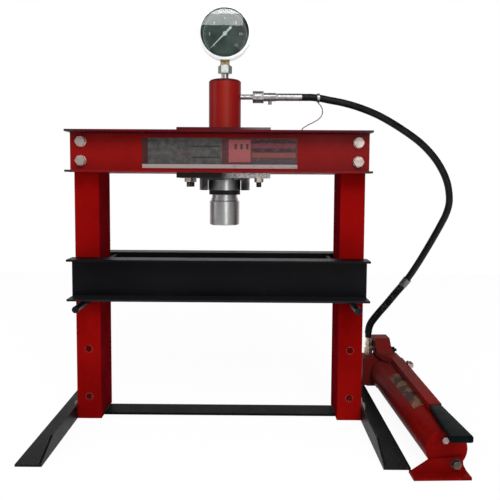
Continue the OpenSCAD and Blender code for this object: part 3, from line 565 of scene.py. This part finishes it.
def make_finishes():
    """One material for each of the record's slots."""
    return {
        "red_paint": red_enamel(), "black_paint": black_enamel(), "grey_paint": grey_enamel(),
        "zinc": plated("zinc_plate", (0.86, 0.76, 0.71), (0.62, 0.47, 0.42), 0.46),
        "yellow_zinc": plated("cream_plate", (0.86, 0.78, 0.62), (0.62, 0.54, 0.4), 0.4),
        "machined_steel": turned("turned_steel", (0.74, 0.74, 0.74), (0.58, 0.58, 0.58), 0.3),
        "dark_steel": oxide("black_oxide", (0.012, 0.012, 0.013), (0.22, 0.22, 0.23), 0.4),
        "brass": brass(), "gauge_steel": polished_case(), "lens": gauge_glass(),
        "dial": dial_face(),
        "needle": plated("needle_white", (0.86, 0.9, 0.87), (0.75, 0.8, 0.77), 0.45),
        "hose_rubber": rubber("hose_cover", (0.006, 0.006, 0.007), (0.018, 0.018, 0.019), 0.34,
                              gloss=0.15),
        "black_rubber": rubber("black_rubber", (0.009, 0.009, 0.009), (0.03, 0.03, 0.03)),
        "grip_plastic": rubber("grip_rubber", (0.002, 0.0045, 0.0048), (0.006, 0.011, 0.011), 0.42,
                               700, 0.03),
        "knob_plastic": rubber("knob_plastic", (0.01, 0.01, 0.01), (0.025, 0.025, 0.025), 0.4),
        "tether": rubber("tether_coat", (0.16, 0.03, 0.02), (0.3, 0.12, 0.08), 0.35),
        "label": head_label()}


def special_finishes():
    """Finishes of single nodes, where they differ from the rest of their slot."""
    line = plated("line_zinc", (0.52, 0.51, 0.53), (0.3, 0.29, 0.31), 0.3)
    pump = red_enamel("pump_red", pump_paint_and_shade, gloss=0.015)
    head = red_enamel("head_red", channel_wash)
    column = red_enamel("column_red", column_painted_shade, gloss=0)
    # the columns' inner walls glow faintly: painted light, with no lamp there
    column.set(emission_color=column_inside_glow(column), emission_strength=1.0)
    rail = enamel("rail_enamel", (0.0018, 0.0018, 0.0022), (0.008, 0.0085, 0.0095), 0.36,
                  (0.04, 0.042, 0.046), rail_wash)
    ring = oxide("lock_ring_steel", (0.1, 0.1, 0.104), (0.75, 0.75, 0.76), 0.34)
    tie = enamel("tie_enamel", (0.0015, 0.0014, 0.0024), (0.0045, 0.0043, 0.006), 0.42,
                 (0.012, 0.012, 0.014), gloss=0.05)
    pale = plated("foot_bolt_zinc", (0.7, 0.6, 0.55), (0.35, 0.24, 0.2), 0.42)
    worn = plated("worn_bolt_zinc", (0.2, 0.155, 0.13), (0.09, 0.055, 0.045), 0.5)
    dim = plated("plug_zinc", (0.42, 0.32, 0.34), (0.24, 0.15, 0.15), 0.46)
    bed = black_enamel("bed_enamel", bed_wash)
    lock = plated("ground_steel", (0.62, 0.62, 0.62), (0.3, 0.3, 0.31), 0.34)
    adapter = plated("adapter_zinc", (0.8, 0.83, 0.8), (0.5, 0.53, 0.52), 0.42)
    groups = (
        (ground_plate(), "lower_ram_plate"),
        (red_enamel("ram_red", ram_painted_light, gloss=0.2), "ram_cylinder"),
        (red_enamel("clamp_red", plate_wear_and_reflection), "upper_ram_plate"),
        (head, "front_head_channel rear_head_channel"),
        (column, "left_column right_column"),
        (pump, "pump_lever pump_block pump_reservoir pump_end_cap pump_front_foot"),
        (rail, "left_foot_rail right_foot_rail"),
        (bed, "front_bed_channel rear_bed_channel"),
        (ring, "ram_lock_ring"), (tie, "base_tie bed_spacers"),
        (line, "port_nipple coupler_collar coupler_body upper_ferrule tether_band"),
        (lock, "ram_gland"), (adapter, "gauge_adapter"),
        (worn, "pump_foot_bolt"), (pale, "lever_bolt"), (dim, "filler_plug"))
    return {node: finish for finish, nodes in groups for node in nodes.split()}


def dress_nodes(finishes):
    """Every CAD node gets the finish of its slot, or its own."""
    special = special_finishes()
    for part in frame["record"]["subparts"]:
        node = NODES[part["node"]]
        finish = special.get(part["node"], finishes[part["material_slot"]])
        node.data.materials.clear()
        node.data.materials.append(finish.material)


# ---------- detail pieces ----------

def along(points):
    """Distance of each point along its route."""
    out = [0]
    for a, b in zip(points, points[1:]):
        out.append(out[-1] + math.dist(a, b))
    return out


GUARD_LEN = 0.187
GUARD_WIRE = 0.0017
GUARD_PITCH = 0.0034
GUARD_STEPS = 16  # points in one turn
GUARD_END = 0.012  # from the hose's end to the spring
SLEEVE_LEN, SLEEVE_WALL = 0.024, 0.0018


def guard_frames():
    """Places and cross directions on the hose, from its pump end upwards."""
    line = [Vector(p) for p in catmull_rom(HOSE_ROUTE)][::-1]
    reach = along(line)
    turns = int(GUARD_LEN / GUARD_PITCH)
    frames = []
    side = Vector((0, 1, 0))
    for k in range(turns * GUARD_STEPS + 1):
        s = GUARD_END + k * GUARD_LEN / (turns * GUARD_STEPS)
        i = max(j for j, r in enumerate(reach[:-1]) if r <= s)
        t = (s - reach[i]) / (reach[i + 1] - reach[i])
        way = (line[i + 1] - line[i]).normalized()
        side = (side - way * side.dot(way)).normalized()
        frames.append((line[i].lerp(line[i + 1], t), side.copy(), way.cross(side), way))
    return frames


def add_guard(finishes):
    """The spring wound over the hose above the pump, and the sleeve at its top."""
    frames = guard_frames()
    r = HOSE_D / 2 + GUARD_WIRE / 2
    wire = []
    for k, (at, u, v, _) in enumerate(frames):
        turn = 2 * math.pi * k / GUARD_STEPS
        wire.append(at + r * (u * math.cos(turn) + v * math.sin(turn)))
    spring = finished(round_tube("hose_guard", wire, GUARD_WIRE, resolution=1), "hose_guard",
                      finishes["dark_steel"])
    return [spring, add_guard_sleeve(frames[-1])]


def collar(name, place, way, radius, length, wall, finish):
    """A short ring with rounded lips; radius is its outer one, and length runs along way."""
    deselect()
    bpy.ops.mesh.primitive_cylinder_add(vertices=48, radius=radius, depth=length,
                                        end_fill_type="NOTHING", location=place)
    ring = bpy.context.object
    ring.rotation_euler = Vector(way).to_track_quat("Z", "Y").to_euler()
    mode("EDIT")
    bpy.ops.mesh.select_all(action="SELECT")
    bpy.ops.mesh.subdivide(number_cuts=1)
    mode("OBJECT")
    skin = ring.modifiers.new("wall", "SOLIDIFY")
    skin.thickness = wall
    skin.offset = -1
    lip = ring.modifiers.new("lip", "BEVEL")
    lip.width = min(wall, length) * 0.38
    lip.segments = 3
    apply_modifiers(ring)
    return finished(ring, name, finish)


def add_guard_sleeve(top):
    """The pressed sleeve that holds the spring's upper end."""
    at, _, _, way = top
    dull = plated("sleeve_zinc", (0.22, 0.22, 0.225), (0.12, 0.12, 0.125), 0.45)
    return collar("guard_sleeve", at + way * SLEEVE_LEN / 3, way,
                  HOSE_D / 2 + GUARD_WIRE + 0.0005, SLEEVE_LEN, SLEEVE_WALL, dull)


SPARE_HOLES = (0.056, 0.177)  # heights
HOLE_R = 0.008
RIM = 0.0014  # the lip's wall and its length


def add_hole_rims():
    """The raised, rubbed lips of the columns' spare pin holes."""
    rubbed = plated("rubbed_rim", (0.34, 0.12, 0.1), (0.2, 0.012, 0.01), 0.5)
    for side in ("left", "right"):
        (x0, y0, _), (x1, _, _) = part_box(side + "_column")
        for k, z in enumerate(SPARE_HOLES):
            collar("hole_rim_%s_%d" % (side, k), ((x0 + x1) / 2, y0 - 0.0001, z), (0, -1, 0),
                   HOLE_R + RIM + 0.0002, RIM, RIM, rubbed)


GRIP_ROUND = 0.0036


def add_round_grip(finishes):
    """The moulded grip: the lever's grip with its edges rounded over."""
    grip = linked("moulded_grip", NODES["pump_grip"].data.copy())
    only(grip)
    mode("EDIT")
    bpy.ops.mesh.select_all(action="SELECT")
    bpy.ops.mesh.remove_doubles(threshold=0.00001)
    bpy.ops.mesh.dissolve_limited(angle_limit=math.radians(1))
    mode("OBJECT")
    edge = grip.modifiers.new("edge", "BEVEL")
    edge.width = GRIP_ROUND
    edge.segments = 4
    edge.limit_method = "ANGLE"
    edge.angle_limit = math.radians(40)
    apply_modifiers(grip)
    finished(grip, "moulded_grip", finishes["grip_plastic"], body="lever")
    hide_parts("pump_grip")


def weld(name, start, end, radius, finish):
    """A ripple weld: one flattened drop, copied along its seam with overlap."""
    a, b = Vector(start), Vector(end)
    pitch = radius * 0.55
    deselect()
    bpy.ops.mesh.primitive_uv_sphere_add(segments=14, ring_count=8, radius=radius, location=a)
    drop = bpy.context.object
    drop.scale = (0.9, 0.9, 0.75)
    bpy.ops.object.transform_apply(location=False, rotation=False, scale=True)
    row = drop.modifiers.new("row", "ARRAY")
    row.count = max(2, int((b - a).length / pitch))
    row.use_relative_offset = False
    row.use_constant_offset = True
    row.constant_offset_displace = (b - a) / (row.count - 1)
    apply_modifiers(drop)
    return finished(drop, name, finish)


WELD_R, WELD_INWARD, WELD_CLEAR = 0.0032, 0.0012, 0.003


def add_welds(finishes):
    """Seams of the base tie against each column."""
    (x0, y0, _), (x1, y1, z1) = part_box("base_tie")
    for side, x in (("left", x0 + WELD_INWARD), ("right", x1 - WELD_INWARD)):
        weld("tie_weld_" + side, (x, y0 + WELD_CLEAR, z1), (x, y1 - WELD_CLEAR, z1), WELD_R,
             finishes["black_paint"])


PUMP_X, PUMP_Y, PUMP_TURN = 0.463, 0.190, 2.0  # the pump's own origin, and degrees
TANK_R, TANK_Z = 0.043, 0.049
LABEL_AT, LABEL_LEN = 0.262, 0.2  # from that origin to the label's middle, and its length
LABEL_EDGE = (66, 130)  # degrees round the reservoir that the label covers
LABEL_GAP, LABEL_SKIN = 0.0003, 0.0004


def add_tank_label(finish):
    """The curved label on the reservoir: a slice of its cylinder's upper left side."""
    turn = math.radians(PUMP_TURN)
    centre = Vector((PUMP_X, PUMP_Y, 0)) + Vector((
        math.sin(turn) * LABEL_AT, -math.cos(turn) * LABEL_AT, TANK_Z))
    deselect()
    bpy.ops.mesh.primitive_cylinder_add(vertices=128, radius=TANK_R + LABEL_GAP,
                                        depth=LABEL_LEN, end_fill_type="NOTHING",
                                        location=(0, 0, 0))
    label = bpy.context.object
    mode("EDIT")
    bpy.ops.mesh.select_all(action="DESELECT")
    mode("OBJECT")
    for face in label.data.polygons:
        angle = math.degrees(math.atan2(face.center.y, face.center.x))
        face.select = not LABEL_EDGE[0] < angle < LABEL_EDGE[1]
    mode("EDIT")
    bpy.ops.mesh.delete(type="FACE")
    mode("OBJECT")
    skin = label.modifiers.new("skin", "SOLIDIFY")
    skin.thickness = LABEL_SKIN
    skin.offset = 1
    apply_modifiers(label)
    label.rotation_euler = (math.pi / 2, 0, turn)
    label.location = centre
    return finished(label, "tank_label", finish)


DIGIT_R, DIGIT_SIZE = 0.0385, 0.009
INK_LIFT, INK_THICK = 0.0001, 0.00004


def add_dial_digits(finishes):
    """Plain numbers round the dial, printed a hair above it."""
    (x0, y0, z0), (x1, _, z1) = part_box("gauge_dial")
    made = []
    for k in range(DIAL_NUMBERS + 1):
        angle = math.radians(DIAL_SWEEP * (2 * k / DIAL_NUMBERS - 1))
        deselect()
        bpy.ops.object.text_add(location=(
            (x0 + x1) / 2 + DIGIT_R * math.sin(angle), y0 - INK_LIFT,
            (z0 + z1) / 2 + DIGIT_R * math.cos(angle)), rotation=(math.pi / 2, 0, 0))
        digit = bpy.context.object
        digit.data.body = str(2 * k)
        digit.data.size = DIGIT_SIZE
        digit.data.align_x = "CENTER"
        digit.data.align_y = "CENTER"
        digit.data.extrude = INK_THICK
        made.append(as_mesh(digit))
    deselect()
    for obj in made:
        obj.select_set(True)
    bpy.context.view_layer.objects.active = made[0]
    bpy.ops.object.join()
    return finished(bpy.context.object, "dial_digits", finishes["needle"], shaded=False)


# ---------- light and floor ----------

SKY_LIGHT = 0.5  # what lights the press
ROOM_LIGHT = 0.1  # what mirrors see in front of the press
ROOM_END, BACKDROP = 0.5, 0.95  # a direction's Y where the room ends and where white starts
FLOOR_GLOW = 0.9
PAPER_LIFT = 1.04  # makes up for the paper's own shade
FLOOR_SIZE = 4.4
LAMPS = (  # name, place, aim, width, height, radiance
    ("key", (0.55, -2.5, 2.55), (0, 0, 0.6), 1.5, 1.3, 6),
    ("strip", (0.7, -2.5, 0.75), (0, 0, 0.6), 0.26, 1.25, 6),
    ("cap", (-0.09, -2.017, 1.665), (0, 0, 0.96), 0.34, 0.085, 12),
    ("band", (-0.12, -2.017, 1.587), (0, 0, 0.96), 0.28, 0.066, 4.5),
    ("side", (-2.4, -0.6, 1.3), (0, 0, 0.5), 0.9, 1.6, 1.6))


def add_world():
    """White to the camera. Mirrors and glass see the white backdrop behind and a dim room in
    front, and the press is lit at half strength."""
    world = bpy.data.worlds.new("world")
    bpy.context.scene.world = world
    world.use_nodes = True
    f = Graph(world.node_tree)
    sky = f.tree.nodes["Background"]
    sky.inputs["Color"].default_value = (1, 1, 1, 1)
    way = f.node("ShaderNodeTexCoord", out="Generated")
    back = f.node("ShaderNodeSeparateXYZ", None, {0: way}, "Y")
    room = f.node("ShaderNodeMapRange", None, {
        0: back, 1: ROOM_END, 2: BACKDROP, 3: ROOM_LIGHT, 4: 1.0})
    camera, mirrored = f.seen_rays()
    level = camera + (1 - camera) * (mirrored * room + (1 - mirrored) * SKY_LIGHT)
    f.join(level, sky.inputs["Strength"])


def add_lamp(name, place, aim, width, height, radiance):
    """A soft rectangular lamp; radiance is what a mirror would show of it."""
    data = bpy.data.lights.new(name, "AREA")
    data.shape = "RECTANGLE"
    data.size = width
    data.size_y = height
    data.energy = radiance * math.pi * width * height
    lamp = linked(name, data)
    lamp.location = place
    lamp.rotation_euler = (Vector(aim) - lamp.location).to_track_quat("-Z", "Y").to_euler()


def add_floor():
    """A white floor that keeps the press's shadow."""
    deselect()
    bpy.ops.mesh.primitive_plane_add(size=FLOOR_SIZE, location=(0, 0, 0))
    floor = bpy.context.object
    floor.name = "floor"
    f = Finish("paper")
    f.set(base_color=(0.9, 0.9, 0.9, 1), roughness=0.9)
    camera, mirrored = f.seen_rays()
    seen = camera.math("MAXIMUM", mirrored)
    white = f.node("ShaderNodeEmission", None, {"Strength": PAPER_LIFT})
    blend = f.node("ShaderNodeMixShader", None, {
        0: seen * FLOOR_GLOW, 1: Wire(f, f.shader.outputs[0]), 2: white})
    f.join(blend, f.tree.nodes["Material Output"].inputs[0])
    floor.data.materials.append(f.material)


# ---------- the press ----------

finishes = make_finishes()
dress_nodes(finishes)
add_cords(finishes, add_guard(finishes))
add_welds(finishes)
add_hole_rims()
add_round_grip(finishes)
add_tank_label(tank_label())
add_dial_digits(finishes)
add_world()
for lamp in LAMPS:
    add_lamp(*lamp)
add_floor()
bpy.context.scene.view_settings.view_transform = "Standard"
